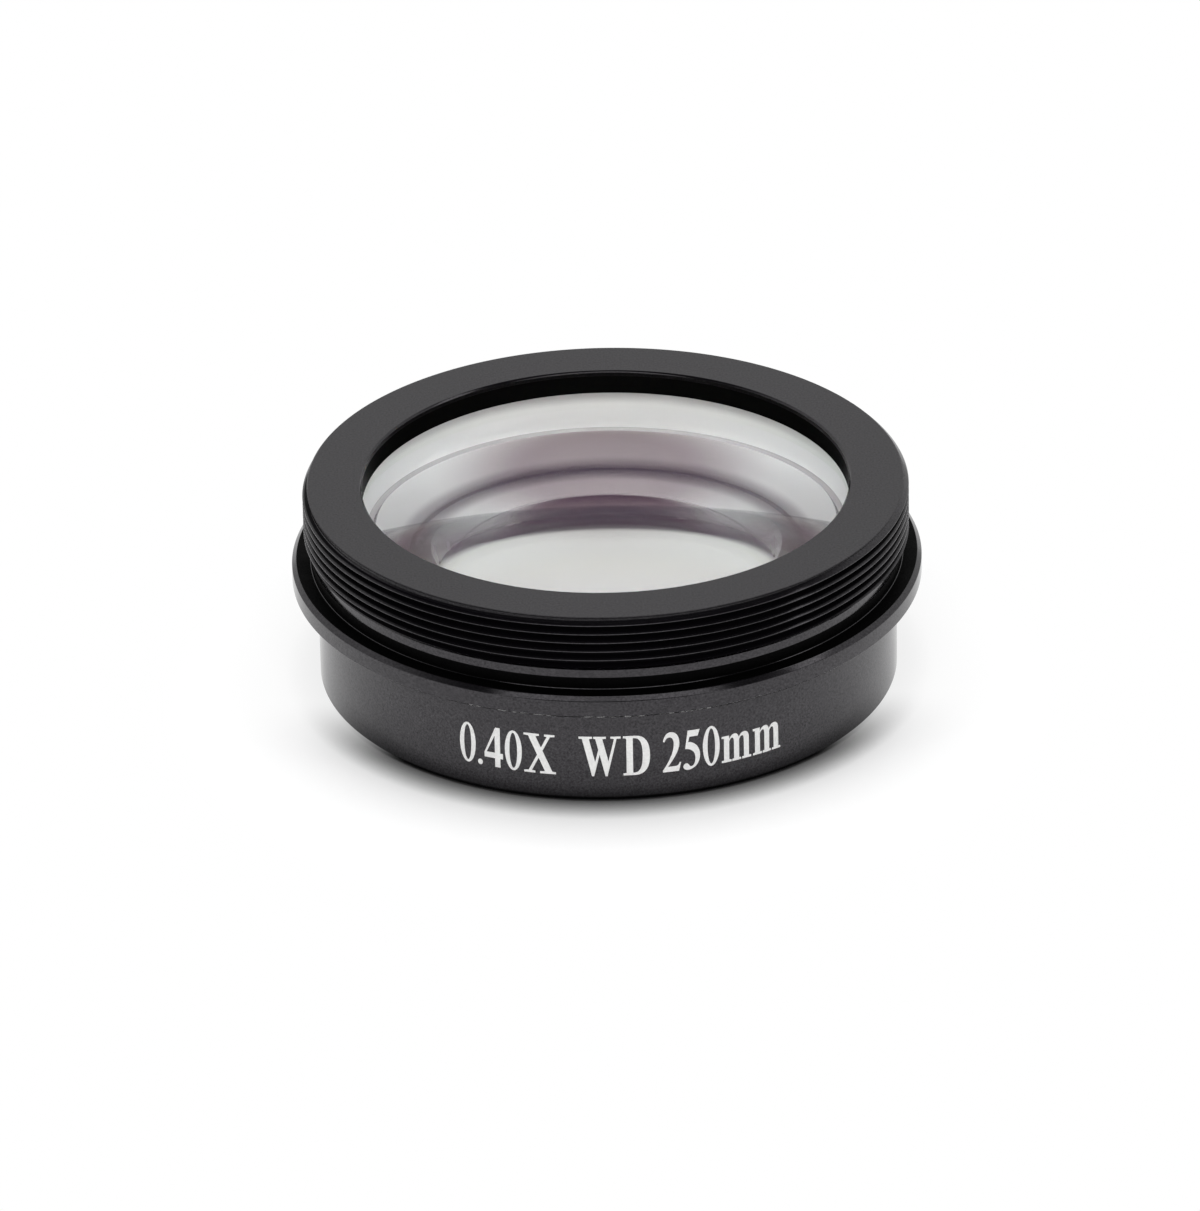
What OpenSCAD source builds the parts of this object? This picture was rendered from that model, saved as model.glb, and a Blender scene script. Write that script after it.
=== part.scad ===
// Auxiliary objective for a stereo microscope: a black turned housing that
// screws into the microscope by its upper thread and holds an air-spaced
// negative lens pair. The lenses drop in from below against the top lip,
// a thin ring keeps them apart, and a slotted ring locks them.
// Origin at the centre of the bottom face, +Z along the optical axis.

/* [Housing] */
// Height from the bottom edge to the top face
body_h = 16.5; // [15:0.5:20]
// Diameter of the flange that stops the thread
flange_d = 50; // [49.5:0.5:60]
// Thickness of the flange
flange_t = 1.8; // [1.2:0.1:3]
// Chamfer on the flange's upper edge
flange_top_chamfer = 0.35; // [0.1:0.05:0.6]
// Chamfer on the flange's lower edge
flange_low_chamfer = 0.2; // [0.1:0.05:0.5]
// Diameter of the plain barrel below the flange
barrel_d = 46; // [45.5:0.5:48]
// Chamfer on the barrel's bottom edge, outside
barrel_chamfer = 0.45; // [0.2:0.05:0.7]
// Chamfer on the barrel's bottom edge, inside
mouth_chamfer = 0.3; // [0.1:0.05:0.5]

/* [Mounting thread] */
// Diameter over the thread's crests
thread_d = 48; // [47.5:0.5:49]
// Distance from one crest to the next
thread_pitch = 0.75; // [0.5:0.05:0.8]
// Number of crests
thread_crests = 6; // [3:1:6]
// Depth of the thread, measured along the radius
thread_depth = 0.46; // [0.3:0.02:0.48]
// Width of the flat on each crest
crest_w = 0.09; // [0.05:0.01:0.12]
// Lead-in chamfer at the top of the thread
lead_chamfer = 0.4; // [0.2:0.05:0.5]
// Height of the boss that carries the thread, from the flange to the top face
boss_h = 6.3; // [5.5:0.1:8]
// How far the plain neck under the thread lies inside the thread's roots
neck_relief = 0.04; // [0.02:0.02:0.3]

/* [Top lip] */
// How far the top lip covers the upper lens, measured along the radius
lip_cover = 0.7; // [0.6:0.1:2]
// Thickness of the top lip, down to the lens seat
lip_t = 1.96; // [1.5:0.02:3]
// Chamfer on the lip's upper edge
lip_chamfer = 0.15; // [0.05:0.05:0.3]

/* [Lenses] */
// Wall between the roots of the mounting thread and the lens bore
thread_wall = 3.49; // [2.5:0.01:6]
// Ground bevel on the edges of the lenses
lens_bevel = 0.2; // [0.1:0.05:0.3]
// Width of the flat rim hidden under the lip
seat_w = 0.65; // [0.5:0.05:1]
// Width of the flat rims where the lenses face each other and the lock ring
rim_w = 0.5; // [0.4:0.1:1.5]
// Radius of the upper lens's hollow top surface
crown_top_r = 90; // [70:1:150]
// Radius of the upper lens's hollow lower surface
crown_low_r = 70; // [60:1:120]
// Thickness of the upper lens on the axis
crown_t = 1.85; // [1.4:0.05:2.4]
// Radius of the lower lens's domed top surface
flint_top_r = 71; // [61:1:120]
// Radius of the lower lens's slightly hollow lower surface
flint_low_r = 390; // [250:10:600]
// Thickness of the lower lens at its edge
flint_edge_t = 1.3; // [1:0.1:1.8]

/* [Rings] */
// Thickness of the ring between the lenses
spacer_t = 0.3; // [0.2:0.05:0.5]
// Wall of the barrel around the lock ring
barrel_wall = 2; // [1.2:0.1:3]
// Step from the lock ring's bore in to the lens bore, measured along the radius
bore_step = 0.95; // [0.5:0.05:2]
// Height of the lock ring
lock_h = 4; // [2:0.1:4.5]
// How far the lock ring covers the lower lens, measured along the radius
lock_cover = 5.2; // [2:0.1:6]
// Chamfer around the lock ring's opening, on its lower face
lock_chamfer = 0.6; // [0.2:0.1:1]
// Width of each slot for the spanner
slot_w = 2; // [1.2:0.1:3]
// Depth of each slot for the spanner
slot_h = 1.2; // [0.6:0.1:1.6]

/* [Fits] */
// Clearance around the lenses and the spacer, measured along the radius
lens_clearance = 0.05; // [0.02:0.01:0.1]
// Clearance around the lock ring, measured along the radius
lock_clearance = 0.05; // [0.02:0.01:0.1]
// Height of the thread relief above the lock ring
lock_relief = 0.3; // [0.2:0.05:0.6]

/* [Hidden] */

// Facets of round shapes
round_fn = 240;
// Facets of the optical surfaces, finer because their radii are long
optic_fn = 360;
// Overshoot of a cut past the face that it opens
cut = 1;

// Height of a sphere's cap over a rim of radius rim_r
function sag(sphere_r, rim_r) = sphere_r - sqrt(sphere_r * sphere_r - rim_r * rim_r);

// Outer radii of the housing
thread_r = thread_d / 2;
root_r = thread_r - thread_depth;
neck_r = root_r - neck_relief;
flange_r = flange_d / 2;
barrel_r = barrel_d / 2;
// Heights of the flange
flange_top_z = body_h - boss_h;
flange_low_z = flange_top_z - flange_t;
// Run of a 60 degree flank along the axis
flank_run = thread_depth * tan(30);
// Depth of the first crest's centre below the top face
first_crest = lead_chamfer + 2 * crest_w;

// Radii of the bores, from the walls around them
lock_bore_r = barrel_r - barrel_wall;
lens_bore_r = min(root_r - thread_wall, lock_bore_r - bore_step);

// Radii of the lens stack and of what covers it
lens_r = lens_bore_r - lens_clearance;
lip_bore_r = lens_r - lip_cover;
crown_top_rim_r = lens_r - seat_w;
inner_rim_r = lens_r - rim_w;
lock_r = lock_bore_r - lock_clearance;
lock_opening_r = lens_r - lock_cover;

// Heights of the lens stack, from the lip down
crown_edge_t = crown_t + sag(crown_top_r, crown_top_rim_r) + sag(crown_low_r, inner_rim_r);
seat_z = body_h - lip_t;
crown_low_z = seat_z - crown_edge_t;
flint_top_z = crown_low_z - spacer_t;
flint_low_z = flint_top_z - flint_edge_t;
lock_low_z = flint_low_z - lock_h;

// Radius and height of the thread's profile around crest number i
function crest_points(i) =
    let (z = body_h - first_crest - i * thread_pitch)
    [
        if (i > 0) [root_r, z + crest_w / 2 + flank_run],
        if (i > 0) [thread_r, z + crest_w / 2],
        [thread_r, z - crest_w / 2],
        [root_r, z - crest_w / 2 - flank_run]
    ];

// Outside of the housing, from the top face down to the bottom face
function outer_profile() = concat(
    [
        [thread_r - lead_chamfer, body_h],
        [thread_r, body_h - lead_chamfer]
    ],
    [for (i = [0 : thread_crests - 1]) each crest_points(i)],
    [
        [neck_r, body_h - first_crest - (thread_crests - 1) * thread_pitch
            - crest_w / 2 - flank_run - neck_relief],
        [neck_r, flange_top_z],
        [flange_r - flange_top_chamfer, flange_top_z],
        [flange_r, flange_top_z - flange_top_chamfer],
        [flange_r, flange_low_z + flange_low_chamfer],
        [flange_r - flange_low_chamfer, flange_low_z],
        [barrel_r, flange_low_z],
        [barrel_r, barrel_chamfer],
        [barrel_r - barrel_chamfer, 0]
    ]
);

// Inside of the housing, from the bottom face up to the top face
function inner_profile() = [
    [lock_bore_r + mouth_chamfer, 0],
    [lock_bore_r, mouth_chamfer],
    [lock_bore_r, flint_low_z + lock_relief],
    [lens_bore_r, flint_low_z + lock_relief],
    [lens_bore_r, seat_z],
    [lip_bore_r, seat_z],
    [lip_bore_r, body_h - lip_chamfer],
    [lip_bore_r + lip_chamfer, body_h]
];

// Round glass blank with ground bevels, between two heights
module lens_blank(low_z, top_z) {
    rotate_extrude($fn = round_fn)
        polygon([
            [0, low_z],
            [lens_r - lens_bevel, low_z],
            [lens_r, low_z + lens_bevel],
            [lens_r, top_z - lens_bevel],
            [lens_r - lens_bevel, top_z],
            [0, top_z]
        ]);
}

// Sphere that hollows a lens from above, cutting its rim at rim_z and rim_r
module hollow_from_above(sphere_r, rim_z, rim_r) {
    translate([0, 0, rim_z - sag(sphere_r, rim_r) + sphere_r])
        sphere(r = sphere_r, $fn = optic_fn);
}

// Sphere that hollows a lens from below, cutting its rim at rim_z and rim_r
module hollow_from_below(sphere_r, rim_z, rim_r) {
    translate([0, 0, rim_z + sag(sphere_r, rim_r) - sphere_r])
        sphere(r = sphere_r, $fn = optic_fn);
}

// Turned housing: thread, neck, flange, barrel, lip, lens seat and lock bore
module housing() {
    color([0.06, 0.06, 0.065])
        rotate_extrude($fn = round_fn)
            polygon(concat(outer_profile(), inner_profile()));
}

// Upper lens, hollow on both sides, seated against the lip
module crown_lens() {
    color([0.85, 0.9, 0.95, 0.35])
        difference() {
            lens_blank(crown_low_z, seat_z);
            hollow_from_above(crown_top_r, seat_z, crown_top_rim_r);
            hollow_from_below(crown_low_r, crown_low_z, inner_rim_r);
        }
}

// Thin ring that sets the air gap between the lenses
module spacer_ring() {
    color([0.08, 0.08, 0.08])
        translate([0, 0, flint_top_z])
            difference() {
                cylinder(h = spacer_t, r = lens_r, $fn = round_fn);
                translate([0, 0, -cut])
                    cylinder(h = spacer_t + 2 * cut, r = inner_rim_r, $fn = round_fn);
            }
}

// Lower lens, domed on top and almost flat below
module flint_lens() {
    dome_h = sag(flint_top_r, inner_rim_r);
    color([0.85, 0.9, 0.95, 0.35])
        difference() {
            union() {
                lens_blank(flint_low_z, flint_top_z);
                intersection() {
                    translate([0, 0, flint_top_z - flint_edge_t / 2])
                        cylinder(h = dome_h + flint_edge_t, r = inner_rim_r, $fn = round_fn);
                    translate([0, 0, flint_top_z + dome_h - flint_top_r])
                        sphere(r = flint_top_r, $fn = optic_fn);
                }
            }
            hollow_from_below(flint_low_r, flint_low_z, inner_rim_r);
        }
}

// Ring that locks the stack from below, with two slots for a spanner
module lock_ring() {
    color([0.07, 0.07, 0.075])
        difference() {
            rotate_extrude($fn = round_fn)
                polygon([
                    [lock_opening_r, flint_low_z],
                    [lock_r, flint_low_z],
                    [lock_r, lock_low_z],
                    [lock_opening_r + lock_chamfer, lock_low_z],
                    [lock_opening_r, lock_low_z + lock_chamfer]
                ]);
            translate([-lock_bore_r - cut, -slot_w / 2, lock_low_z - cut])
                cube([2 * (lock_bore_r + cut), slot_w, slot_h + cut]);
        }
}

housing();
crown_lens();
spacer_ring();
flint_lens();
lock_ring();
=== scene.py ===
"""Looks of a microscope's auxiliary objective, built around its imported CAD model.

Lengths are in millimetres until a mesh is made, and the frame gives the main ones.
Lamps, the camera and the floor's shade are in metres.
"""

import math

import bmesh
import bpy
from mathutils import Matrix, Vector
from mathutils.geometry import tessellate_polygon


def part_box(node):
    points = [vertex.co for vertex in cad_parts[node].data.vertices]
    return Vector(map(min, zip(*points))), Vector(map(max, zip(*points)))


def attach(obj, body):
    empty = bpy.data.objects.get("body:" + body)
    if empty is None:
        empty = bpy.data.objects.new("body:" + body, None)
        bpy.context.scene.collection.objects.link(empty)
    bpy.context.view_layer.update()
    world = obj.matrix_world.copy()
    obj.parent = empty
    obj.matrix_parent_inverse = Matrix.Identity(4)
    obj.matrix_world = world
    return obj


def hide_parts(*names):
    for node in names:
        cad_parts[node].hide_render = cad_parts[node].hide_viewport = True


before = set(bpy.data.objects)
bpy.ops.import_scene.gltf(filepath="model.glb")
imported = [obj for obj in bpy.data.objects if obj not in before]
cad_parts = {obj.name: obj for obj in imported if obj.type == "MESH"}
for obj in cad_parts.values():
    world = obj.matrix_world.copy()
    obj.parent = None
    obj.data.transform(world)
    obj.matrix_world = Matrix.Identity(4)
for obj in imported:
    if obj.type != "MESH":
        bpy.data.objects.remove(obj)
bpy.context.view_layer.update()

MM = 0.001
BODY = "root"


# Sizes taken from the frame

def box_mm(node):
    """Outer radius, lowest and highest level of a CAD node."""
    low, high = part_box(node)
    radius = max(high.x, high.y, -low.x, -low.y)
    return round(radius / MM, 2), round(low.z / MM, 3), round(high.z / MM, 3)


FLANGE_R, BOTTOM_Z, TOP_Z = box_mm("housing")
LENS_R, CROWN_LOW_Z, SEAT_Z = box_mm("crown_lens")
SPACER_LOW_Z = box_mm("spacer_ring")[1]
LOCK_R, LOCK_LOW_Z, FLINT_LOW_Z = box_mm("lock_ring")

# Sizes of the housing
FLANGE_TOP_Z = 10.2
FLANGE_LOW_Z = 8.4
FLANGE_TOP_CHAMFER = 0.35
FLANGE_LOW_CHAMFER = 0.2
BARREL_R = 23
BARREL_CHAMFER = 0.45
MOUTH_CHAMFER = 0.3
LIP_R = 19.3
LIP_CHAMFER = 0.15
BORE_R = 20.05
BORE_STEP_Z = FLINT_LOW_Z + 0.3

# Rounding of edges, of inner corners and of corners that stay sharp
EDGE_ROUND = 0.04
CORNER_ROUND = 0.1
NO_ROUND = 0.001

# Mounting thread on the outside. The first turn starts above the top face.
THREAD_R = 24
THREAD_DEPTH = 0.46
THREAD_PITCH = 0.75
THREAD_CREST_W = 0.09
THREAD_CHAMFER = 0.4
THREAD_FRONT_CREST_Z = 15.94
THREAD_TURNS = 9
THREAD_TURNS_ABOVE = 1.25
NECK_R = 23.5
NECK_TOP_Z = 11.85
NECK_LAND_Z = 11.2

# Fine thread of the lock ring, inside
FINE_R = 21
FINE_DEPTH = 0.24
FINE_PITCH = 0.5
FINE_CREST_W = 0.08
FINE_TURNS_ABOVE = 2
FINE_TURNS_SPARE = 4

# Lenses
LENS_BEVEL = 0.06
RIM_GAP = 0.03
CROWN_TOP_R = 90
CROWN_TOP_RIM = 19.35
CROWN_LOW_R = 70
FLINT_TOP_R = 71
FLINT_LOW_R = 390
INNER_RIM = 19.5
SPACER_ROUND = 0.02

# Lock ring
LOCK_OPENING_R = 14.8
LOCK_CHAMFER = 0.6
SLOT_W = 2
SLOT_H = 1.2

# Marking on the barrel
MARKING_TEXT = "0.40X  WD 250mm"
MARKING_H = 3.45
MARKING_BASE_Z = 2.3
MARKING_MIDDLE_DEG = 2.5
MARKING_SQUEEZE = 0.92
MARKING_GAP = 0.05
MARKING_SPACE = 0.24
MARKING_PROUD = 0.015
MARKING_SUNK = 0.03
MARKING_SLICE = 0.5

# Facets
ROUND_STEPS = 320
LENS_STEPS = 256
LENS_RINGS = 48
SLOT_STEPS = 8
CURVE_STEPS = 8

# Angles from which an edge counts as sharp
SHARP_DEG = 30
BEVELLED_SHARP_DEG = 40
BEVEL_FROM_RAD = 0.5

# Faces that get a finish of their own, or painted shade in the neck's recess
LIP_PAINT_R = LIP_R + 0.01
BORE_PAINT_R = FINE_R + FINE_DEPTH + 0.02
BORE_PAINT_LOW_Z = BOTTOM_Z + 0.1
BORE_PAINT_TOP_Z = TOP_Z - 1
NECK_PAINT_LOW_Z = FLANGE_TOP_Z - 0.05
FILLET_SLOPES = (0.25, 0.97)
GROUND_FROM_R = INNER_RIM + 0.01
RIM_SLOPE = 0.6

# Black finishes, and a dull black that paints shade into the neck's recess, with the depth of their
# turning marks and of their grain in metres
BLACKS = {
    "black_anodised": {
        "dark": (0.0008, 0.0007, 0.001),
        "light": (0.003, 0.0026, 0.0035),
        "rough": (0.09, 0.15),
        "ior": 1.6,
        "groove": 0.0000002,
        "grain": 0.0000003,
    },
    "black_ring": {
        "dark": (0.042, 0.038, 0.038),
        "light": (0.062, 0.057, 0.056),
        "rough": (0.2, 0.3),
        "ior": 1.5,
        "groove": 0.0000005,
        "grain": 0.0000005,
    },
    "bore_black": {
        "dark": (0.002, 0.002, 0.002),
        "light": (0.005, 0.005, 0.0045),
        "rough": (0.3, 0.4),
        "ior": 1.2,
        "groove": 0.0000005,
        "grain": 0.0000005,
    },
    # Painted shade: the recess under the thread, dark and dull so that it shows almost no reflection
    "neck_painted_shade": {
        "dark": (0.0005, 0.0005, 0.0005),
        "light": (0.001, 0.001, 0.001),
        "rough": (0.45, 0.6),
        "ior": 1.12,
        "groove": 0.0000005,
        "grain": 0.0000005,
    },
}

# Gloss of the black finishes: its flecks, its tint, and on the thread a painted shade that leaves
# little gloss in its valleys and a painted sheen that raises it on its crests
FLECK_LEVELS = (0.25, 0.75)
GLOSS_TINT = (0.98, 0.94, 1.0)
VALLEY_R = 23.82
CREST_R = 23.98
VALLEY_PAINTED_SHADE = 0.02
CREST_PAINTED_SHEEN = 1.2
GLOSS_LOW_Z = 12.2
GLOSS_TOP_Z = 16.05

# Noise patterns: scale, detail and roughness
TURNING_NOISE = (9000, 3.0, 0.6)
SPECKLE_NOISE = (7000, 2.0, 0.6)
CLOUD_NOISE = (350, 3.0, 0.5)
FLECK_NOISE = (6000, 2.0, 0.7)
PIT_NOISE = (4000, 3.0, 0.6)
INK_NOISE = (5000, 3.0, 0.6)
NOISE_RANGE = (0.25, 0.75)

# Polished glass and its coating
GLASS_TINT = (0.975, 0.99, 0.98)
CROWN_IOR = 1.517
FLINT_IOR = 1.62
FILM_NM = 372
FILM_IOR = 1.38

# Painted shade on the upper lens's lower surface: a grey patch of the coating towards the back, which
# dims the reflections inside the glass
GLASS_SHADE_MIDDLE = (0, 12, 9)
GLASS_SHADE_FULL_R = 6
GLASS_SHADE_END_R = 15
GLASS_SHADE_MOST = 1.0
GLASS_SHADE_LEAST = 0.1
GLASS_SHADE_TINT = (0.63, 0.575, 0.59)

# Ground edges of the lenses, with painted shade of the lip near the top of the upper one
GROUND_DARK = (0.95, 0.95, 0.94)
GROUND_LIGHT = (0.99, 0.99, 0.98)
GROUND_ROUGH = 0.9
PIT_DEPTH = 0.000004
LIP_SHADE = (0.66, 0.65, 0.65)
LIP_SHADE_LOW_Z = SEAT_Z - 2.7
LIP_SHADE_FULL_Z = SEAT_Z - 1.1
RIM_GREY = (0.48, 0.47, 0.47)

# Ink of the marking
INK_DARK = (0.66, 0.66, 0.65)
INK_LIGHT = (0.98, 0.98, 0.97)
INK_ROUGH = 0.6
INK_DEPTH = 0.000006

# World: its level for diffuse rays, and its grading for glossy ones
WORLD_DIFFUSE = 0.45
SKY_FROM = 0.57
SKY_TO = 0.82
SKY_LOW = 0.62
SKY_HIGH = 0.04

# Floor: its paper, its shade under and in front of the object with painted contact shade, a painted
# glow of light on the paper under the lenses, and its plain white
FLOOR_HALF = 3.0
FLOOR_PAPER = (0.93, 0.93, 0.93)
FLOOR_ROUGH = 0.9
CONTACT_SAMPLES = 8
CONTACT_REACH = 0.003
PAINTED_SHADE_POWER = 2.5
FLOOR_PAINTED_GLOW = 0.65
FLOOR_PAINTED_GLOW_R = 0.0165
FLOOR_SHADOW_AHEAD = 0.005
FLOOR_SHADOW_TO = 0.024
FLOOR_WHITE_FROM = 0.036
FLOOR_SIDE_WHITE = 0.85
FLOOR_SHADE_FROM_Y = -0.005
FLOOR_SHADE_FULL_Y = -0.016
FLOOR_HIDDEN_R = 0.0224

# Lamps: direction, distance, width, height, level of white, and the rays that see them
LAMPS = {
    "overhead": ((0, 0.1, 1), 0.6, 0.45, 0.45, 3.2, "diffuse"),
    "glass_light": ((0, -0.6, 0.8), 0.7, 1.0, 0.5, 9.0, "transmission"),
    "right_side": ((0.69, 0.0, 0.72), 0.6, 0.14, 0.14, 1.2, "glossy"),
    "front_strip": ((0, -0.454, 0.891), 0.7, 0.8, 0.08, 1.4, "glossy"),
    "front_fill": ((0, -0.7, 0.7), 0.7, 0.35, 0.35, 5.0, "diffuse"),
}

# Camera fitted to the photo's ellipses, with the photo's size in pixels
CAMERA_ELEVATION_DEG = 26.87
CAMERA_ROLL_DEG = 1.11
CAMERA_DISTANCE = 0.8
CAMERA_CLIP = 0.01
PIXELS_PER_MM = 12.64
IMAGE_W = 1200
IMAGE_H = 1211
TOP_FACE_PIXEL = (605.3, 479.1)
SENSOR_W = 36


# Mesh building

def link_object(name, data):
    """Object with its data, placed in the scene."""
    item = bpy.data.objects.new(name, data)
    bpy.context.scene.collection.objects.link(item)
    return item


def shade(mesh, sharp_deg=SHARP_DEG):
    """Smooth shading with sharp edges from a given angle."""
    mesh.shade_smooth()
    mesh.set_sharp_from_angle(angle=math.radians(sharp_deg))


def make_object(name, vertices, faces):
    """Mesh object from points in millimetres, welded, with outward normals."""
    mesh = bpy.data.meshes.new(name)
    mesh.from_pydata([(x * MM, y * MM, z * MM) for x, y, z in vertices], [], faces)
    work = bmesh.new()
    work.from_mesh(mesh)
    bmesh.ops.remove_doubles(work, verts=work.verts, dist=1e-4 * MM)
    bmesh.ops.dissolve_degenerate(work, edges=work.edges, dist=1e-5 * MM)
    bmesh.ops.recalc_face_normals(work, faces=work.faces)
    work.to_mesh(mesh)
    work.free()
    shade(mesh)
    return link_object(name, mesh)


def soften(outline, steps=3, support=0.06, most_reach=0.35):
    """Round each corner of a closed outline, given as radius, height and rounding."""
    points = []
    for i, (r, z, rounding) in enumerate(outline):
        here = Vector((r, z))
        back = Vector(outline[i - 1][:2]) - here
        ahead = Vector(outline[(i + 1) % len(outline)][:2]) - here
        half = back.angle(ahead) / 2
        reach = min(rounding / math.tan(half), most_reach * back.length, most_reach * ahead.length)
        start = here + back.normalized() * reach
        end = here + ahead.normalized() * reach
        if back.length > 3 * (reach + support):
            points.append(start + back.normalized() * support)
        for k in range(steps + 1):
            t = k / steps
            points.append((1 - t) ** 2 * start + 2 * t * (1 - t) * here + t * t * end)
        if ahead.length > 3 * (reach + support):
            points.append(end + ahead.normalized() * support)
    return [(p.x, p.y) for p in points]


def thread_section(depth, pitch, crest_w):
    """One pitch of a 60 degree thread from its crest down: depth below the crest, drop."""
    run = depth * math.tan(math.radians(30))
    root_w = pitch - crest_w - 2 * run
    bevel = crest_w / 4
    return [
        (bevel, 0),
        (0, bevel),
        (0, crest_w - bevel),
        (bevel, crest_w),
        (depth, crest_w + run),
        (depth, crest_w + run + root_w),
    ]


def thread_block(section, pitch, first_z, turns):
    """Rows of a thread's section, repeated downwards: depth below the crest, height."""
    return [(depth, first_z - turn * pitch - drop) for turn in range(turns) for depth, drop in section]


def block_rows(blocks):
    """Rows around the outline: a thread with a row's number, or None with a point."""
    rows = []
    for block in blocks:
        if isinstance(block, dict):
            rows += [(block, k) for k in range(len(block["rows"]))]
        else:
            rows += [(None, point) for point in block]
    return rows


def row_point(block, value, i, steps):
    """Radius and height of a row at one step around the axis."""
    if block is None:
        return value
    depth, height = block["rows"][value]
    z = height + block["rise"] * i / steps
    z = min(max(z, block["low"]), block["high"])
    return block["radius"](depth, z), z


def row_after_seam(rows, row):
    """Row that continues this one across the seam of the helix."""
    block, value = rows[row]
    if block is None:
        return row
    moved = min(max(value - block["shift"], 0), len(block["rows"]) - 1)
    return row + moved - value


def lathe_with_threads(name, blocks, steps):
    """Turned body from plain and threaded blocks, in order around its closed outline.

    A plain block is a list of radius and height. A threaded one is a dictionary with its
    rows, its rise per turn, its limits in height, and a function from depth and height
    to radius. Where a thread's helix closes, its rows shift by one turn.
    """
    rows = block_rows(blocks)
    count = len(rows)
    vertices = []
    for i in range(steps):
        angle = 2 * math.pi * i / steps
        for block, value in rows:
            r, z = row_point(block, value, i, steps)
            vertices.append((r * math.cos(angle), r * math.sin(angle), z))
    seam = [row_after_seam(rows, row) for row in range(count)]
    faces = []
    for i in range(steps):
        right = seam if i == steps - 1 else range((i + 1) * count, (i + 2) * count)
        for row in range(count):
            after = (row + 1) % count
            face = [row + i * count, after + i * count, right[after], right[row]]
            if len(set(face)) > 2:
                faces.append(list(dict.fromkeys(face)))
    return make_object(name, vertices, faces)


def lathe(name, outline, steps):
    """Turned body from an open outline that starts and ends on the axis."""
    vertices = []
    rings = []
    for r, z in outline:
        count = 1 if r < 1e-6 else steps
        rings.append(range(len(vertices), len(vertices) + count))
        for k in range(count):
            angle = 2 * math.pi * k / steps
            vertices.append((r * math.cos(angle), r * math.sin(angle), z))
    faces = []
    for upper, lower in zip(rings, rings[1:]):
        for k in range(steps):
            face = [upper[k % len(upper)], upper[(k + 1) % len(upper)]]
            face += [lower[(k + 1) % len(lower)], lower[k % len(lower)]]
            faces.append(list(dict.fromkeys(face)))
    return make_object(name, vertices, faces)


# Housing

def outer_thread():
    """Mounting thread: right-hand, cut short by the lead-in chamfer and by the neck."""
    section = thread_section(THREAD_DEPTH, THREAD_PITCH, THREAD_CREST_W)
    first_z = THREAD_FRONT_CREST_Z + THREAD_CREST_W / 2 + THREAD_TURNS_ABOVE * THREAD_PITCH

    def radius(depth, z):
        lead = THREAD_R - THREAD_CHAMFER + (TOP_Z - z)
        relief = NECK_R + (z - NECK_TOP_Z)
        return max(min(THREAD_R - depth, lead, relief), NECK_R)

    return {
        "rows": thread_block(section, THREAD_PITCH, first_z, THREAD_TURNS),
        "rise": THREAD_PITCH,
        "shift": len(section),
        "low": NECK_TOP_Z,
        "high": TOP_Z - EDGE_ROUND,
        "radius": radius,
    }


def inner_thread():
    """Fine thread that takes the lock ring, cut into the bore, as rows from below."""
    section = thread_section(FINE_DEPTH, FINE_PITCH, FINE_CREST_W)
    first_z = BORE_STEP_Z + FINE_TURNS_ABOVE * FINE_PITCH
    turns = math.ceil(BORE_STEP_Z / FINE_PITCH) + FINE_TURNS_SPARE
    rows = thread_block(section, FINE_PITCH, first_z, turns)
    low = BOTTOM_Z + MOUTH_CHAMFER

    def radius(depth, z):
        threaded = low < z < BORE_STEP_Z - FINE_PITCH
        return FINE_R + depth if threaded else FINE_R

    return {
        "rows": rows[::-1],
        "rise": FINE_PITCH,
        "shift": -len(section),
        "low": low,
        "high": BORE_STEP_Z,
        "radius": radius,
    }


def housing_outline():
    """Closed outline of the housing without threads, from the lip outwards and down."""
    return [
        (LIP_R, SEAT_Z, EDGE_ROUND),
        (LIP_R, TOP_Z - LIP_CHAMFER, EDGE_ROUND),
        (LIP_R + LIP_CHAMFER, TOP_Z, EDGE_ROUND),
        (THREAD_R - THREAD_CHAMFER, TOP_Z, EDGE_ROUND),
        (NECK_R, NECK_TOP_Z, NO_ROUND),
        (NECK_R, NECK_LAND_Z, NO_ROUND),
        (NECK_R, FLANGE_TOP_Z, CORNER_ROUND),
        (FLANGE_R - FLANGE_TOP_CHAMFER, FLANGE_TOP_Z, EDGE_ROUND),
        (FLANGE_R, FLANGE_TOP_Z - FLANGE_TOP_CHAMFER, EDGE_ROUND),
        (FLANGE_R, FLANGE_LOW_Z + FLANGE_LOW_CHAMFER, EDGE_ROUND),
        (FLANGE_R - FLANGE_LOW_CHAMFER, FLANGE_LOW_Z, EDGE_ROUND),
        (BARREL_R, FLANGE_LOW_Z, CORNER_ROUND),
        (BARREL_R, BOTTOM_Z + BARREL_CHAMFER, EDGE_ROUND),
        (BARREL_R - BARREL_CHAMFER, BOTTOM_Z, EDGE_ROUND),
        (FINE_R + MOUTH_CHAMFER, BOTTOM_Z, EDGE_ROUND),
        (FINE_R, BOTTOM_Z + MOUTH_CHAMFER, NO_ROUND),
        (FINE_R, BORE_STEP_Z, NO_ROUND),
        (BORE_R, BORE_STEP_Z, EDGE_ROUND),
        (BORE_R, SEAT_Z, EDGE_ROUND),
    ]


def housing_blocks():
    """Rounded outline of the housing, with its threads after the top face and the mouth."""
    soft = soften(housing_outline())
    on_top = [i for i, (r, z) in enumerate(soft) if z > TOP_Z - 2 * EDGE_ROUND and r > LIP_R + 1]
    at_mouth = [i for i, (r, z) in enumerate(soft) if z < BOTTOM_Z + MOUTH_CHAMFER + 0.01]
    outside = on_top[-1] + 1
    inside = at_mouth[-1] + 1
    return [soft[:outside], outer_thread(), soft[outside:inside], inner_thread(), soft[inside:]]


# Lenses

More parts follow.
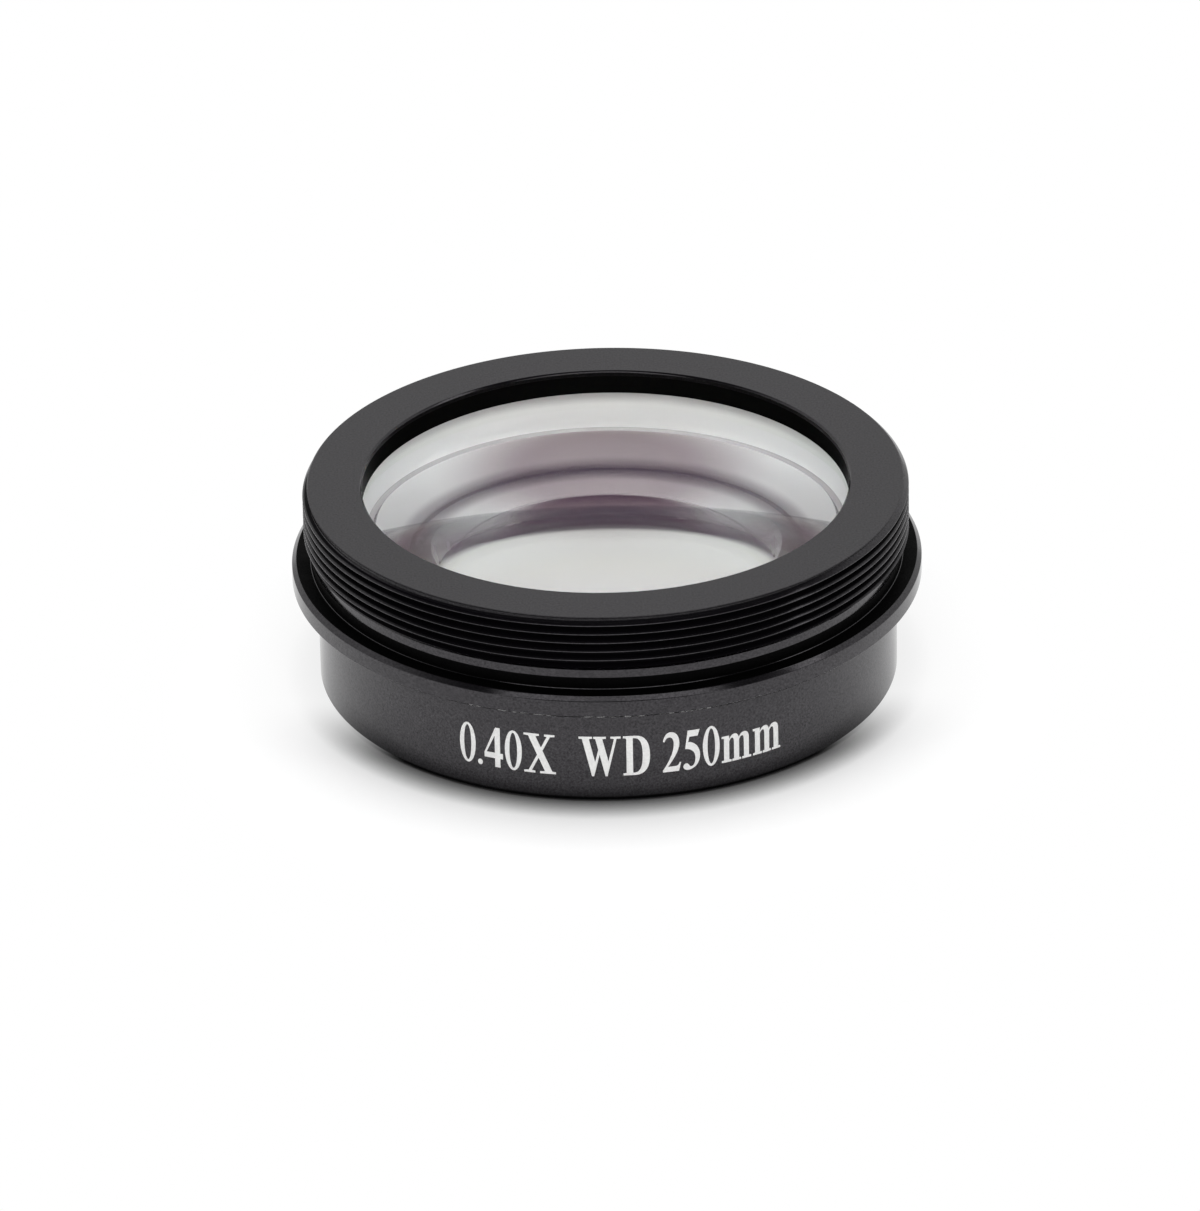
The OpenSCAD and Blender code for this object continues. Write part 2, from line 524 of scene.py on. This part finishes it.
def arc(sphere_r, rim_r, rim_z, curve):
    """Optical surface from the axis to its rim. Curve is 1 where the axis lies lower."""
    points = []
    for k in range(LENS_RINGS + 1):
        r = rim_r * k / LENS_RINGS
        drop = math.sqrt(sphere_r ** 2 - r ** 2) - math.sqrt(sphere_r ** 2 - rim_r ** 2)
        points.append((r, rim_z - curve * drop))
    return points


def lens_outline(top, bottom, top_z, low_z):
    """Outline of a lens, from the axis over its top, rim and bottom back to the axis."""
    rim = [
        (LENS_R - LENS_BEVEL, top_z - RIM_GAP),
        (LENS_R, top_z - RIM_GAP - LENS_BEVEL),
        (LENS_R, low_z + RIM_GAP + LENS_BEVEL),
        (LENS_R - LENS_BEVEL, low_z + RIM_GAP),
    ]
    return top + rim + bottom[::-1]


def crown_outline():
    """Upper lens, hollow on both sides."""
    top = arc(CROWN_TOP_R, CROWN_TOP_RIM, SEAT_Z, 1)
    bottom = arc(CROWN_LOW_R, INNER_RIM, CROWN_LOW_Z, -1)
    return lens_outline(top, bottom, SEAT_Z, CROWN_LOW_Z)


def flint_outline():
    """Lower lens, domed on top and slightly hollow below."""
    top = arc(FLINT_TOP_R, INNER_RIM, SPACER_LOW_Z, -1)
    bottom = arc(FLINT_LOW_R, INNER_RIM, FLINT_LOW_Z, -1)
    return lens_outline(top, bottom, SPACER_LOW_Z, FLINT_LOW_Z)


def spacer_mesh():
    """Thin ring between the rims of the two lenses."""
    outline = [
        (INNER_RIM, SPACER_LOW_Z, SPACER_ROUND),
        (LENS_R, SPACER_LOW_Z, SPACER_ROUND),
        (LENS_R, CROWN_LOW_Z, SPACER_ROUND),
        (INNER_RIM, CROWN_LOW_Z, SPACER_ROUND),
    ]
    return lathe_with_threads("spacer_fine", [soften(outline)], LENS_STEPS)


# Lock ring

def ring_sector(vertices, faces, outline, middle, in_slot, steps):
    """Add the part of the ring inside or outside a slot, and tell its two end rows."""
    first = len(vertices)
    for k in range(steps + 1):
        for r, z in outline:
            slot_half = math.asin(SLOT_W / 2 / r)
            reach = slot_half if in_slot else math.pi / 2 - slot_half
            angle = middle + reach * (2 * k / steps - 1)
            vertices.append((r * math.cos(angle), r * math.sin(angle), z))
    n = len(outline)
    for k in range(steps):
        a = first + k * n
        b = a + n
        for j in range(n):
            faces.append([a + j, a + (j + 1) % n, b + (j + 1) % n, b + j])
    return first, first + steps * n


def bevel_sharp_edges(piece):
    """Small bevels on the sharp edges of a piece."""
    work = bmesh.new()
    work.from_mesh(piece.data)
    sharp = [edge for edge in work.edges if len(edge.link_faces) == 2]
    sharp = [edge for edge in sharp if edge.calc_face_angle() > BEVEL_FROM_RAD]
    bmesh.ops.bevel(work, geom=sharp, offset=EDGE_ROUND * MM, segments=2, affect="EDGES", profile=0.5)
    work.to_mesh(piece.data)
    work.free()
    shade(piece.data, BEVELLED_SHARP_DEG)


def lock_ring_mesh():
    """Slotted ring in four sectors, two full and two cut away by the slot."""
    slot_z = LOCK_LOW_Z + SLOT_H
    full = [
        (LOCK_OPENING_R, FLINT_LOW_Z),
        (LOCK_R, FLINT_LOW_Z),
        (LOCK_R, slot_z),
        (LOCK_R, LOCK_LOW_Z),
        (LOCK_OPENING_R + LOCK_CHAMFER, LOCK_LOW_Z),
        (LOCK_OPENING_R, LOCK_LOW_Z + LOCK_CHAMFER),
        (LOCK_OPENING_R, slot_z),
    ]
    cut = full[:3] + full[6:]
    full_steps = ROUND_STEPS // 2 - SLOT_STEPS // 2
    vertices = []
    faces = []
    for middle in (0, math.pi):
        ends = ring_sector(vertices, faces, full, math.pi / 2 + middle, False, full_steps)
        for end in ends:
            faces.append([end + j for j in (2, 3, 4, 5, 6)])
        ring_sector(vertices, faces, cut, middle, True, SLOT_STEPS)
    piece = make_object("lock_ring_fine", vertices, faces)
    bevel_sharp_edges(piece)
    return piece


# Marking

# Letter outlines in cap heights, each after the letter's width. M starts a contour,
# L draws lines, C cubic curves and O an ellipse.
GLYPHS = {
    "0": (0.44, "O 0.22 0.5 0.22 0.51 O 0.22 0.5 0.10 0.45"),
    ".": (0.13, "O 0.065 0.065 0.065 0.07"),
    "2": (0.46, "M 0 0 L 0.4 0 0.46 0.22 0.42 0.22 C 0.4 0.15 0.37 0.13 0.31 0.13 L 0.13 0.13"
                " C 0.22 0.27 0.42 0.48 0.42 0.72 C 0.42 0.89 0.33 1.01 0.21 1.01"
                " C 0.1 1.01 0.03 0.92 0.01 0.78 L 0.05 0.77 C 0.07 0.84 0.11 0.88 0.17 0.88"
                " C 0.24 0.88 0.28 0.8 0.28 0.7 C 0.28 0.5 0.16 0.26 0 0.05"),
    "4": (0.49, "M 0.3 1.01 L 0.42 1.01 0.42 0.36 0.49 0.36 0.49 0.22 0.42 0.22 0.42 0 0.28 0"
                " 0.28 0.22 0 0.22 0 0.34 M 0.28 0.36 L 0.28 0.8 0.06 0.36"),
    "5": (0.45, "M 0.12 0.99 L 0.43 0.99 0.37 0.83 0.16 0.83 0.13 0.7 C 0.3 0.68 0.43 0.54 0.43 0.34"
                " C 0.43 0.13 0.28 -0.01 0.12 -0.01 C 0.05 -0.01 0 0.03 0 0.08"
                " C 0 0.13 0.04 0.16 0.08 0.16 C 0.14 0.16 0.15 0.07 0.2 0.07"
                " C 0.27 0.07 0.31 0.16 0.31 0.28 C 0.31 0.43 0.2 0.53 0.05 0.53"),
    "D": (0.66, "M 0 1 L 0.3 1 C 0.56 1 0.66 0.8 0.66 0.5 C 0.66 0.2 0.56 0 0.3 0 L 0 0 0 0.05"
                " 0.08 0.06 0.08 0.94 0 0.95 M 0.24 0.94 L 0.28 0.94 C 0.43 0.94 0.48 0.76 0.48 0.5"
                " C 0.48 0.24 0.43 0.06 0.28 0.06 L 0.24 0.06"),
    "W": (1.03, "M 0 1 L 0.33 1 0.33 0.95 0.25 0.94 0.395 0.353 0.477 0.667 0.41 0.94 0.36 0.95"
                " 0.36 1 0.67 1 0.67 0.95 0.58 0.94 0.7225 0.364 0.865 0.94 0.78 0.95 0.78 1"
                " 1.03 1 1.03 0.95 0.93 0.94 0.695 -0.01 0.645 -0.01 0.509 0.54 0.365 -0.01"
                " 0.315 -0.01 0.08 0.94 0 0.95"),
    "X": (0.80, "M 0 1 L 0.39 1 0.39 0.95 0.3 0.94 0.433 0.655 0.585 0.94 0.52 0.95 0.52 1 0.78 1"
                " 0.78 0.95 0.665 0.94 0.47 0.575 0.711 0.06 0.8 0.05 0.8 0 0.4 0 0.4 0.05"
                " 0.526 0.06 0.371 0.391 0.195 0.06 0.28 0.05 0.28 0 0 0 0 0.05 0.115 0.06"
                " 0.334 0.47 0.115 0.94 0 0.95"),
    "m": (0.80, "M 0 0.67 L 0.2 0.67 0.2 0.57 C 0.24 0.66 0.3 0.69 0.35 0.69"
                " C 0.41 0.69 0.45 0.65 0.46 0.57 C 0.5 0.66 0.56 0.69 0.62 0.69"
                " C 0.7 0.69 0.74 0.62 0.74 0.52 L 0.74 0.06 0.8 0.05 0.8 0 0.55 0 0.55 0.05 0.6 0.06"
                " 0.6 0.48 C 0.6 0.56 0.58 0.6 0.55 0.6 C 0.51 0.6 0.48 0.56 0.47 0.5 L 0.47 0.06"
                " 0.52 0.05 0.52 0 0.28 0 0.28 0.05 0.33 0.06 0.33 0.48 C 0.33 0.56 0.31 0.6 0.28 0.6"
                " C 0.24 0.6 0.21 0.56 0.2 0.5 L 0.2 0.06 0.26 0.05 0.26 0 0 0 0 0.05 0.06 0.06"
                " 0.06 0.61 0 0.62"),
}


def contours(path):
    """Closed contours of a letter, as lists of points."""
    found = []
    command = ""
    numbers = []
    need = {"M": 2, "L": 2, "C": 6, "O": 4}
    for token in path.split():
        if token in need:
            command = token
            continue
        numbers.append(float(token))
        if len(numbers) < need[command]:
            continue
        if command == "M":
            found.append([tuple(numbers)])
        elif command == "L":
            found[-1].append(tuple(numbers))
        elif command == "C":
            found[-1] += cubic(found[-1][-1], *zip(numbers[::2], numbers[1::2]))
        else:
            found.append(oval(*numbers))
        numbers = []
    return found


def cubic(a, b, c, d):
    """Points of a cubic curve after its first one."""
    points = []
    for k in range(1, CURVE_STEPS + 1):
        t = k / CURVE_STEPS
        s = 1 - t
        weights = (s ** 3, 3 * s * s * t, 3 * s * t * t, t ** 3)
        points.append(tuple(sum(w * p[i] for w, p in zip(weights, (a, b, c, d))) for i in (0, 1)))
    return points


def oval(x, y, rx, ry):
    """Points of an ellipse."""
    steps = 4 * CURVE_STEPS
    angles = [2 * math.pi * k / steps for k in range(steps)]
    return [(x + rx * math.sin(a), y + ry * math.cos(a)) for a in angles]


def placed_letters():
    """Left end and path of each letter, and the width of the text, in cap heights."""
    width = 0
    placed = []
    for letter in MARKING_TEXT:
        if letter == " ":
            width += MARKING_SPACE
            continue
        advance, path = GLYPHS[letter]
        placed.append((width, path))
        width += advance * MARKING_SQUEEZE + MARKING_GAP
    return placed, width


def flat_letters(placed):
    """Letters as flat triangles side by side, in millimetres."""
    work = bmesh.new()
    for left, path in placed:
        loops = contours(path)
        corners = []
        for x, y in sum(loops, []):
            across = (left + x * MARKING_SQUEEZE) * MARKING_H
            corners.append(work.verts.new((across, y * MARKING_H, 0)))
        for triangle in tessellate_polygon([[Vector((x, y, 0)) for x, y in loop] for loop in loops]):
            if len(set(triangle)) == 3:
                work.faces.new([corners[i] for i in triangle])
    bmesh.ops.recalc_face_normals(work, faces=work.faces)
    return work


def wrap_around_barrel(work, middle):
    """Bend flat letters around the barrel, with the middle of the text near the front."""
    for vertex in work.verts:
        angle = math.radians(MARKING_MIDDLE_DEG) + (vertex.co.x - middle) / BARREL_R
        r = BARREL_R - MARKING_SUNK + vertex.co.z
        z = MARKING_BASE_Z + vertex.co.y
        vertex.co = Vector((r * math.sin(angle), -r * math.cos(angle), z)) * MM


def fix_order(items, key):
    """Put points or faces in an order that is the same in each run."""
    for number, item in enumerate(sorted(items, key=key)):
        item.index = number
    items.sort()


def marking_mesh():
    """Printed letters: thin closed solids wrapped around the barrel."""
    placed, width = placed_letters()
    work = flat_letters(placed)
    for k in range(1, int(width * MARKING_H / MARKING_SLICE)):
        geometry = work.verts[:] + work.edges[:] + work.faces[:]
        place = (k * MARKING_SLICE, 0, 0)
        bmesh.ops.bisect_plane(work, geom=geometry, plane_co=place, plane_no=(1, 0, 0), dist=1e-5)
    raised = bmesh.ops.extrude_face_region(work, geom=work.faces[:])
    for item in raised["geom"]:
        if isinstance(item, bmesh.types.BMVert):
            item.co.z = MARKING_PROUD + MARKING_SUNK
    wrap_around_barrel(work, width * MARKING_H / 2)
    bmesh.ops.recalc_face_normals(work, faces=work.faces)
    fix_order(work.verts, lambda vertex: tuple(vertex.co))
    fix_order(work.faces, lambda face: tuple(face.calc_center_median()))
    mesh = bpy.data.meshes.new("marking")
    work.to_mesh(mesh)
    work.free()
    shade(mesh)
    return link_object("marking", mesh)


# Materials

class Nodes:
    """Node tree of a material or the world, with short ways to add and join nodes."""

    def __init__(self, tree):
        self.tree = tree

    def add(self, kind, **settings):
        """New node with its settings."""
        node = self.tree.nodes.new(kind)
        for name, value in settings.items():
            setattr(node, name, value)
        return node

    def join(self, source, socket):
        """Link an output to a socket, or set the socket where the source is a constant."""
        if isinstance(source, bpy.types.NodeSocket):
            self.tree.links.new(source, socket)
        else:
            socket.default_value = source

    def math(self, operation, first, second, clamp=False):
        """Result of an operation on two values."""
        node = self.add("ShaderNodeMath", operation=operation, use_clamp=clamp)
        self.join(first, node.inputs[0])
        self.join(second, node.inputs[1])
        return node.outputs[0]

    def split(self, vector):
        """Outputs X, Y and Z of a vector."""
        node = self.add("ShaderNodeSeparateXYZ")
        self.join(vector, node.inputs[0])
        return node.outputs

    def distance(self, place, point):
        """Distance of a place from a fixed point."""
        node = self.add("ShaderNodeVectorMath", operation="DISTANCE")
        node.inputs[1].default_value = point
        self.join(place, node.inputs[0])
        return node.outputs["Value"]

    def ramp(self, value, start, end, low=0.0, high=1.0, kind="SMOOTHSTEP"):
        """Value mapped from one range to another, and kept inside the second."""
        node = self.add("ShaderNodeMapRange", interpolation_type=kind)
        node.inputs["From Min"].default_value = start
        node.inputs["From Max"].default_value = end
        node.inputs["To Min"].default_value = low
        node.inputs["To Max"].default_value = high
        self.join(value, node.inputs["Value"])
        return node.outputs["Result"]

    def noise(self, vector, scale, detail, roughness):
        """Noise value."""
        node = self.add("ShaderNodeTexNoise")
        node.inputs["Scale"].default_value = scale
        node.inputs["Detail"].default_value = detail
        node.inputs["Roughness"].default_value = roughness
        self.join(vector, node.inputs["Vector"])
        return node.outputs["Fac"]

    def spread(self, value, low, high):
        """Noise value turned into a range."""
        return self.ramp(value, *NOISE_RANGE, low, high, "LINEAR")

    def mix(self, share, first, second, kind="FLOAT"):
        """First value where the share is 0, and the second where it is 1."""
        node = self.add("ShaderNodeMix", data_type=kind)
        self.join(share, node.inputs["Factor"])
        self.join(first, node.inputs["A"])
        self.join(second, node.inputs["B"])
        return node.outputs["Result"]

    def blend(self, share, dark, light):
        """Colour between two constant ones."""
        return self.mix(share, (*dark, 1), (*light, 1), "RGBA")

    def bump(self, height, distance, normal=None):
        """Normal that follows a height, on top of another normal if one is given."""
        node = self.add("ShaderNodeBump")
        node.inputs["Strength"].default_value = 1.0
        node.inputs["Distance"].default_value = distance
        self.join(height, node.inputs["Height"])
        if normal is not None:
            self.join(normal, node.inputs["Normal"])
        return node.outputs["Normal"]

    def place(self):
        """Object coordinates."""
        return self.add("ShaderNodeTexCoord").outputs["Object"]

    def turned(self, place):
        """Object coordinates turned into distance from the axis and height."""
        part = self.split(place)
        flat = self.add("ShaderNodeCombineXYZ")
        self.join(part["X"], flat.inputs["X"])
        self.join(part["Y"], flat.inputs["Y"])
        across = self.add("ShaderNodeVectorMath", operation="LENGTH")
        self.join(flat.outputs[0], across.inputs[0])
        turned = self.add("ShaderNodeCombineXYZ")
        self.join(across.outputs["Value"], turned.inputs["X"])
        self.join(part["Z"], turned.inputs["Z"])
        return turned.outputs[0]

    def direct(self):
        """1 for camera, glossy and transmission rays, and 0 for diffuse ones."""
        path = self.add("ShaderNodeLightPath")
        seen = self.math("MAXIMUM", path.outputs["Is Camera Ray"], path.outputs["Is Glossy Ray"])
        return self.math("MAXIMUM", seen, path.outputs["Is Transmission Ray"])


def new_material(name):
    """Node material with its nodes and its shader."""
    material = bpy.data.materials.new(name)
    material.use_nodes = True
    tree = material.node_tree
    return material, Nodes(tree), tree.nodes["Principled BSDF"]


def thread_painted_shade_and_sheen(nodes, turned):
    """Share of the gloss on the thread: painted shade that leaves little in its valleys, and painted
    sheen that raises it on its crests.
    """
    part = nodes.split(turned)
    limits = (VALLEY_R * MM, CREST_R * MM, VALLEY_PAINTED_SHADE, CREST_PAINTED_SHEEN)
    crest = nodes.ramp(part["X"], *limits, "LINEAR")
    above = nodes.math("GREATER_THAN", part["Z"], GLOSS_LOW_Z * MM)
    below = nodes.math("LESS_THAN", part["Z"], GLOSS_TOP_Z * MM)
    return nodes.mix(nodes.math("MULTIPLY", above, below), 1.0, crest)


def anodised(name, dark, light, rough, ior, groove, grain):
    """Black anodised aluminium with fine turning marks and a grain from etching."""
    material, nodes, shader = new_material(name)
    place = nodes.place()
    turned = nodes.turned(place)
    speckle = nodes.noise(place, *SPECKLE_NOISE)
    cloud = nodes.noise(place, *CLOUD_NOISE)
    nodes.join(nodes.blend(speckle, dark, light), shader.inputs["Base Color"])
    nodes.join(nodes.spread(cloud, *rough), shader.inputs["Roughness"])
    ridges = nodes.bump(nodes.noise(turned, *TURNING_NOISE), groove)
    nodes.join(nodes.bump(speckle, grain, ridges), shader.inputs["Normal"])
    fleck = nodes.spread(nodes.noise(place, *FLECK_NOISE), *FLECK_LEVELS)
    # Painted shade in the thread's valleys and painted sheen on its crests.
    gloss = nodes.math("MULTIPLY", fleck, thread_painted_shade_and_sheen(nodes, turned))
    nodes.join(gloss, shader.inputs["Specular IOR Level"])
    shader.inputs["Specular Tint"].default_value = (*GLOSS_TINT, 1)
    shader.inputs["IOR"].default_value = ior
    return material


def coated_glass(name, ior):
    """Polished glass with a thin coating that reflects a faint purple."""
    material, nodes, shader = new_material(name)
    shader.inputs["Roughness"].default_value = 0.0
    shader.inputs["Base Color"].default_value = (*GLASS_TINT, 1)
    shader.inputs["IOR"].default_value = ior
    shader.inputs["Transmission Weight"].default_value = 1.0
    shader.inputs["Thin Film Thickness"].default_value = FILM_NM
    shader.inputs["Thin Film IOR"].default_value = FILM_IOR
    return material


def add_painted_glass_shade(glass):
    """Painted shade: a soft grey patch of the coat towards the back, which dims what the surface
    reflects inside the glass.
    """
    nodes = Nodes(glass.node_tree)
    shader = glass.node_tree.nodes["Principled BSDF"]
    away = nodes.distance(nodes.place(), Vector(GLASS_SHADE_MIDDLE) * MM)
    weight = nodes.ramp(away, GLASS_SHADE_FULL_R * MM, GLASS_SHADE_END_R * MM, GLASS_SHADE_MOST, GLASS_SHADE_LEAST)
    nodes.join(weight, shader.inputs["Coat Weight"])
    shader.inputs["Coat IOR"].default_value = 1.0
    shader.inputs["Coat Tint"].default_value = (*GLASS_SHADE_TINT, 1)
    return glass


def ground_glass(name, dark, light, lip_shaded=False):
    """Ground surface of a lens, which scatters light, with painted shade of the lip near its top if
    asked.
    """
    material, nodes, shader = new_material(name)
    place = nodes.place()
    pits = nodes.noise(place, *PIT_NOISE)
    colour = nodes.blend(pits, dark, light)
    if lip_shaded:
        # Painted shade: the edge greys towards its top, where the lip shades it.
        lip_shade = nodes.ramp(nodes.split(place)["Z"], LIP_SHADE_LOW_Z * MM, LIP_SHADE_FULL_Z * MM)
        colour = nodes.mix(lip_shade, colour, (*LIP_SHADE, 1), "RGBA")
    nodes.join(colour, shader.inputs["Base Color"])
    nodes.join(nodes.bump(pits, PIT_DEPTH), shader.inputs["Normal"])
    shader.inputs["Roughness"].default_value = GROUND_ROUGH
    shader.inputs["Specular IOR Level"].default_value = 0.0
    return material


def marking_paint():
    """Matt off-white ink with a slightly uneven surface."""
    material, nodes, shader = new_material("marking_white")
    patches = nodes.noise(nodes.place(), *INK_NOISE)
    nodes.join(nodes.blend(patches, INK_DARK, INK_LIGHT), shader.inputs["Base Color"])
    nodes.join(nodes.bump(patches, INK_DEPTH), shader.inputs["Normal"])
    shader.inputs["Roughness"].default_value = INK_ROUGH
    return material


def set_materials(piece, *materials):
    """Give a piece its materials, the first one for all faces."""
    piece.data.materials.clear()
    for material in materials:
        piece.data.materials.append(material)


def paint_lens(piece, glass, ground, under, rim):
    """Polished surfaces above and below, a ground edge and grey rims beside it."""
    set_materials(piece, glass, ground, under, rim)
    for face in piece.data.polygons:
        centre = face.center / MM
        if math.hypot(centre.x, centre.y) > GROUND_FROM_R:
            face.material_index = 3 if abs(face.normal.z) > RIM_SLOPE else 1
        elif face.normal.z < 0:
            face.material_index = 2


def paint_housing(piece, outside, bore, neck):
    """Turned outside, a dull inside, and painted shade that makes the recess between the thread and
    the flange dark.
    """
    set_materials(piece, outside, bore, neck)
    for face in piece.data.polygons:
        centre = face.center / MM
        across = math.hypot(centre.x, centre.y)
        in_bore = across < BORE_PAINT_R and BORE_PAINT_LOW_Z < centre.z < BORE_PAINT_TOP_Z
        in_fillet = FILLET_SLOPES[0] < face.normal.z < FILLET_SLOPES[1]
        if across < LIP_PAINT_R or in_bore:
            face.material_index = 1
        # Painted shade in the recess between the thread and the flange.
        elif NECK_PAINT_LOW_Z < centre.z < NECK_LAND_Z and not in_fillet:
            face.material_index = 2


# Stage, lights and camera

def make_world():
    """Studio that is plain white where it is seen, and graded in reflections."""
    world = bpy.data.worlds.new("studio")
    bpy.context.scene.world = world
    world.use_nodes = True
    nodes = Nodes(world.node_tree)
    background = world.node_tree.nodes["Background"]
    background.inputs["Color"].default_value = (1, 1, 1, 1)
    level = nodes.ramp(nodes.direct(), 0.0, 1.0, WORLD_DIFFUSE, 1.0, "LINEAR")
    height = nodes.split(nodes.add("ShaderNodeTexCoord").outputs["Generated"])["Z"]
    sky = nodes.ramp(height, SKY_FROM, SKY_TO, SKY_LOW, SKY_HIGH)
    glossy = nodes.add("ShaderNodeLightPath").outputs["Is Glossy Ray"]
    nodes.join(nodes.mix(glossy, level, sky), background.inputs["Strength"])


def floor_white(nodes):
    """Share of plain white on the floor: full far off, less beside and under the object, with a
    painted glow of light on the paper under the lenses.
    """
    place = nodes.place()
    across = nodes.split(nodes.turned(place))["X"]
    away = nodes.distance(place, (0, -FLOOR_SHADOW_AHEAD, 0))
    far = nodes.ramp(away, FLOOR_SHADOW_TO, FLOOR_WHITE_FROM)
    depth = nodes.split(place)["Y"]
    beside = nodes.ramp(depth, FLOOR_SHADE_FULL_Y, FLOOR_SHADE_FROM_Y, 0.0, FLOOR_SIDE_WHITE)
    around = nodes.math("MAXIMUM", far, beside)
    hidden = nodes.math("LESS_THAN", across, FLOOR_HIDDEN_R)
    outside = nodes.math("SUBTRACT", around, hidden, clamp=True)
    # Painted pool of light: the paper under the lenses glows, in place of the light that falls through
    # them.
    under = nodes.ramp(across, FLOOR_PAINTED_GLOW_R, FLOOR_PAINTED_GLOW_R - MM, 0.0, FLOOR_PAINTED_GLOW, "LINEAR")
    return nodes.math("MAXIMUM", outside, under)


def floor_material():
    """White paper that keeps the shadow near the object, deepened by painted contact shade, and is
    plain white further off.
    """
    material, nodes, shader = new_material("floor")
    # Painted contact shade: the paper's colour darkens where the object hides it from the open sky.
    contact = nodes.add("ShaderNodeAmbientOcclusion", samples=CONTACT_SAMPLES)
    contact.inputs["Distance"].default_value = CONTACT_REACH
    painted_shade_share = nodes.math("POWER", contact.outputs["AO"], PAINTED_SHADE_POWER)
    nodes.join(nodes.blend(painted_shade_share, (0, 0, 0), FLOOR_PAPER), shader.inputs["Base Color"])
    shader.inputs["Roughness"].default_value = FLOOR_ROUGH
    shader.inputs["Specular IOR Level"].default_value = 0.0
    glow = nodes.add("ShaderNodeEmission")
    surface = nodes.add("ShaderNodeMixShader")
    share = nodes.math("MULTIPLY", floor_white(nodes), nodes.direct())
    nodes.join(share, surface.inputs["Fac"])
    nodes.join(shader.outputs[0], surface.inputs[1])
    nodes.join(glow.outputs[0], surface.inputs[2])
    nodes.join(surface.outputs[0], material.node_tree.nodes["Material Output"].inputs["Surface"])
    return material


def make_floor():
    """Large square floor under the object."""
    half = FLOOR_HALF
    mesh = bpy.data.meshes.new("floor")
    corners = [(-half, -half, 0), (half, -half, 0), (half, half, 0), (-half, half, 0)]
    mesh.from_pydata(corners, [], [(0, 1, 2, 3)])
    floor = link_object("floor", mesh)
    set_materials(floor, floor_material())


def softbox(name, direction, distance, width, height, level, rays):
    """Square lamp that shows a given level of white to one kind of ray, aimed at the object."""
    lamp = bpy.data.lights.new(name, "AREA")
    lamp.shape = "RECTANGLE"
    lamp.size = width
    lamp.size_y = height
    lamp.energy = level * math.pi * width * height
    place = link_object(name, lamp)
    place.location = Vector(direction).normalized() * distance
    place.rotation_euler = Vector(direction).to_track_quat("Z", "Y").to_euler()
    place.visible_diffuse = rays == "diffuse"
    place.visible_glossy = rays == "glossy"
    place.visible_transmission = rays == "transmission"


def make_camera():
    """Camera that puts the middle of the top face on its pixel in the photo."""
    elevation = math.radians(CAMERA_ELEVATION_DEG)
    roll = math.radians(CAMERA_ROLL_DEG)
    pixels_per_metre = PIXELS_PER_MM / MM
    right = Vector((1, 0, 0))
    up = Vector((0, math.sin(elevation), math.cos(elevation)))
    back = Vector((0, -math.cos(elevation), math.sin(elevation)))
    image_right = math.cos(roll) * right - math.sin(roll) * up
    image_up = math.sin(roll) * right + math.cos(roll) * up
    target = Vector((0, 0, TOP_Z * MM))
    eye = target + back * CAMERA_DISTANCE
    shift_right = (IMAGE_W / 2 - TOP_FACE_PIXEL[0]) / pixels_per_metre
    shift_up = (TOP_FACE_PIXEL[1] - IMAGE_H / 2) / pixels_per_metre
    aim = target + image_right * shift_right + image_up * shift_up
    axis_z = (eye - aim).normalized()
    axis_x = image_up.cross(axis_z).normalized()
    axis_y = axis_z.cross(axis_x)
    lens = bpy.data.cameras.new("camera")
    lens.sensor_width = SENSOR_W
    lens.lens = SENSOR_W * pixels_per_metre * CAMERA_DISTANCE / IMAGE_H
    lens.clip_start = CAMERA_CLIP
    camera = link_object("camera", lens)
    columns = Matrix((axis_x, axis_y, axis_z)).transposed().to_4x4()
    camera.matrix_world = Matrix.Translation(eye) @ columns
    bpy.context.scene.camera = camera


make_camera()
make_world()
make_floor()
for lamp_name, lamp_values in LAMPS.items():
    softbox(lamp_name, *lamp_values)

black = {name: anodised(name, **values) for name, values in BLACKS.items()}
crown_glass = coated_glass("crown_glass", CROWN_IOR)
# The upper lens's lower surface gets a painted shade that dims its inner reflections towards the back.
crown_hollow = add_painted_glass_shade(coated_glass("crown_hollow", CROWN_IOR))
flint_glass = coated_glass("flint_glass", FLINT_IOR)
crown_edge = ground_glass("crown_edge", GROUND_DARK, GROUND_LIGHT, lip_shaded=True)
flint_edge = ground_glass("flint_edge", GROUND_DARK, GROUND_LIGHT)
lens_rim = ground_glass("lens_rim", RIM_GREY, RIM_GREY)

housing = lathe_with_threads("housing_body", housing_blocks(), ROUND_STEPS)
paint_housing(housing, black["black_anodised"], black["bore_black"], black["neck_painted_shade"])
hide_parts("housing")
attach(housing, BODY)

crown = lathe("crown_glass", crown_outline(), LENS_STEPS)
paint_lens(crown, crown_glass, crown_edge, crown_hollow, lens_rim)
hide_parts("crown_lens")
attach(crown, BODY)

flint = lathe("flint_glass", flint_outline(), LENS_STEPS)
paint_lens(flint, flint_glass, flint_edge, flint_glass, lens_rim)
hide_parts("flint_lens")
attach(flint, BODY)

lock = lock_ring_mesh()
set_materials(lock, black["black_ring"])
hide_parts("lock_ring")
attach(lock, BODY)

marking = marking_mesh()
set_materials(marking, marking_paint())
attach(marking, BODY)

spacer = spacer_mesh()
set_materials(spacer, black["black_ring"])
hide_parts("spacer_ring")
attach(spacer, BODY)

bpy.context.scene.view_settings.view_transform = "Standard"
